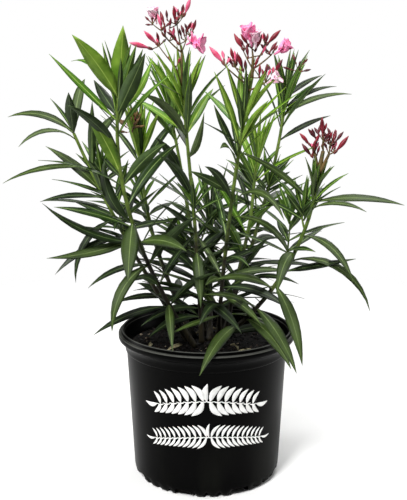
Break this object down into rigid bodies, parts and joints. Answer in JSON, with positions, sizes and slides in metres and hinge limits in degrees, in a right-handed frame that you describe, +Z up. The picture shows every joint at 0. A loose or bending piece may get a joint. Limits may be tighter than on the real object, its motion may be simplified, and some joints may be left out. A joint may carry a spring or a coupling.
{
  "type": "potted oleander",
  "caption": "Flowering evergreen shrub of slender upright stems with whorls of long narrow leaves, standing in a round tapered nursery pot.",
  "frame": {"origin": "centre of the pot's flat underside, on the surface that it stands on", "axes": "+Z up along the pot's axis, -Y towards the front of the pot, +X to the right seen from the front"},
  "size_m": [0.5453, 0.3783, 0.6663],
  "materials": {
    "pot": "satin black moulded plastic",
    "soil": "dark, crumbly potting mix",
    "stem": "green-brown young bark",
    "old_leaf": "leathery, satin dark green",
    "young_leaf": "leathery, satin bright green",
    "flower": "soft crimson and pink petals",
    "print": "thin matt white ink"
  },
  "bodies": {
    "root": {"pot": "pot", "soil": "soil", "stem_far_left": "stem", "stem_left": "stem", "stem_withered": "stem", "stem_tall": "stem", "stem_back": "stem", "stem_front": "stem", "stem_thin": "stem", "stem_right_back": "stem", "stem_right": "stem", "stem_short_back": "stem", "flower_head_tall": "flower", "flower_head_front": "flower", "flower_head_right": "flower", "leaf_tuft_far_left": "young_leaf", "leaf_tuft_left": "young_leaf", "leaf_tuft_withered": "young_leaf", "leaf_tuft_tall": "young_leaf", "leaf_tuft_back": "young_leaf", "leaf_tuft_front": "young_leaf", "leaf_tuft_thin": "young_leaf", "leaf_tuft_right_back": "young_leaf", "leaf_tuft_right": "young_leaf", "leaf_tuft_short_back": "young_leaf", "leaf_mass_mid_far_left": "old_leaf", "leaf_mass_mid_left": "old_leaf", "leaf_mass_mid_withered": "old_leaf", "leaf_mass_mid_tall": "old_leaf", "leaf_mass_mid_back": "old_leaf", "leaf_mass_mid_front": "old_leaf", "leaf_mass_mid_thin": "old_leaf", "leaf_mass_mid_right_back": "old_leaf", "leaf_mass_mid_right": "old_leaf", "leaf_mass_mid_short_back": "old_leaf", "leaf_mass_low_far_left": "old_leaf", "leaf_mass_low_left": "old_leaf", "leaf_mass_low_withered": "old_leaf", "leaf_mass_low_tall": "old_leaf", "leaf_mass_low_back": "old_leaf", "leaf_mass_low_front": "old_leaf", "leaf_mass_low_thin": "old_leaf", "leaf_mass_low_right_back": "old_leaf", "leaf_mass_low_right": "old_leaf", "leaf_mass_low_short_back": "old_leaf"}
  },
  "joints": []
}
